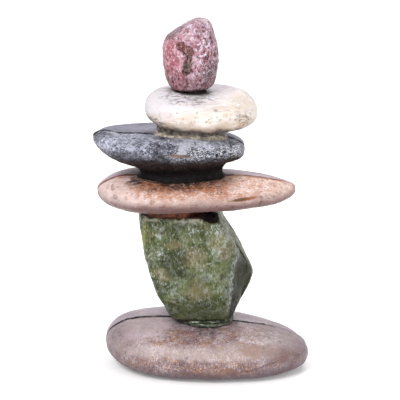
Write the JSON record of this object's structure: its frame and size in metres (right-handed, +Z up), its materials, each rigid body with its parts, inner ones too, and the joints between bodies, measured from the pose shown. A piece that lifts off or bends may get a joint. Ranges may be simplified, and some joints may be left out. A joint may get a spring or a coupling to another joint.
{
  "type": "tabletop water fountain",
  "caption": "Tabletop fountain of balanced cast stones: a broad hollow base with sump and pump, a faceted pillar, and flat and rounded stones above.",
  "frame": {"origin": "on the underside of the base pad, in the parting plane of the castings", "axes": "+X to the fountain's right, +Y to its back, +Z up"},
  "size_m": [0.2139, 0.1362, 0.3586],
  "materials": {
    "base_face": "matte, mottled",
    "base_rear": "matte",
    "pillar_face": "matte, dry-brushed",
    "pillar_rear": "matte",
    "slab_face": "matte, mottled",
    "slab_rear": "matte",
    "wedge_face": "matte, dry-brushed",
    "wedge_rear": "matte",
    "cushion_face": "matte, stained",
    "cushion_rear": "matte",
    "crown_face": "matte, pitted",
    "crown_rear": "matte",
    "lower_neck": "matte",
    "middle_neck": "matte",
    "upper_neck": "matte",
    "top_neck": "matte",
    "ring_cast": "satin paint",
    "tub_plastic": "matte",
    "pump_plastic": "fine grain",
    "fitting_plastic": "gloss",
    "light_plastic": "gloss",
    "grey_plastic": "matte",
    "pad_rubber": "matte",
    "soft_rubber": "matte",
    "clear_tube": "clear, flexible",
    "steel": "zinc plated",
    "brass": "machined",
    "lamination": "laminated",
    "winding": "taped winding",
    "magnet": "sintered ferrite",
    "shaft_ceramic": "polished",
    "lead_jacket": "satin"
  },
  "bodies": {
    "base": {"base_stone_front": "base_face", "base_stone_back": "base_rear", "sump_tub": "tub_plastic", "tub_screws": "steel", "threaded_inserts": "brass", "base_pad": "pad_rubber", "drain_collar": "ring_cast", "dc_inlet": "fitting_plastic", "inlet_seal": "soft_rubber", "inlet_nut": "steel", "pump_lead": "lead_jacket", "drain_bush": "tub_plastic", "pump_housing": "pump_plastic", "pump_cover": "pump_plastic", "pump_seal": "soft_rubber", "stator_core": "lamination", "stator_coil": "winding", "rotor_shaft": "shaft_ceramic", "shaft_bushes": "soft_rubber", "intake_strainer": "pump_plastic", "suction_cups": "soft_rubber"},
    "stack": {"foot_ring": "ring_cast", "foot_nut": "tub_plastic", "riser_socket": "soft_rubber", "riser_tube": "clear_tube", "outlet_nozzle": "fitting_plastic", "pillar_stone_front": "pillar_face", "pillar_stone_back": "pillar_rear", "lower_neck": "lower_neck", "slab_stone_front": "slab_face", "slab_stone_back": "slab_rear", "middle_neck": "middle_neck", "wedge_stone_front": "wedge_face", "wedge_stone_back": "wedge_rear", "upper_neck": "upper_neck", "cushion_stone_front": "cushion_face", "cushion_stone_back": "cushion_rear", "top_neck": "top_neck", "crown_stone_front": "crown_face", "crown_stone_back": "crown_rear", "tie_rod": "steel", "rod_nuts": "steel", "rod_washers": "steel"},
    "rotor": {"rotor_magnet": "magnet", "impeller": "light_plastic"},
    "regulator": {"flow_regulator": "grey_plastic"},
    "plug": {"drain_plug": "grey_plastic"}
  },
  "joints": [
    {"name": "stack_lift", "type": "slide", "parent": "base", "child": "stack", "axis": [0, 0, 1], "range_m": [0, 0.08]},
    {"name": "rotor_spin", "type": "hinge", "parent": "base", "child": "rotor", "pos_m": [0.007, 0, 0.02], "axis": [0, 1, 0], "continuous": true},
    {"name": "regulator_turn", "type": "hinge", "parent": "base", "child": "regulator", "pos_m": [0.007, 0, 0.02], "axis": [0, -1, 0], "range_deg": [0, 40]},
    {"name": "plug_pull", "type": "slide", "parent": "base", "child": "plug", "axis": [0, 1, 0], "range_m": [0, 0.03]}
  ]
}
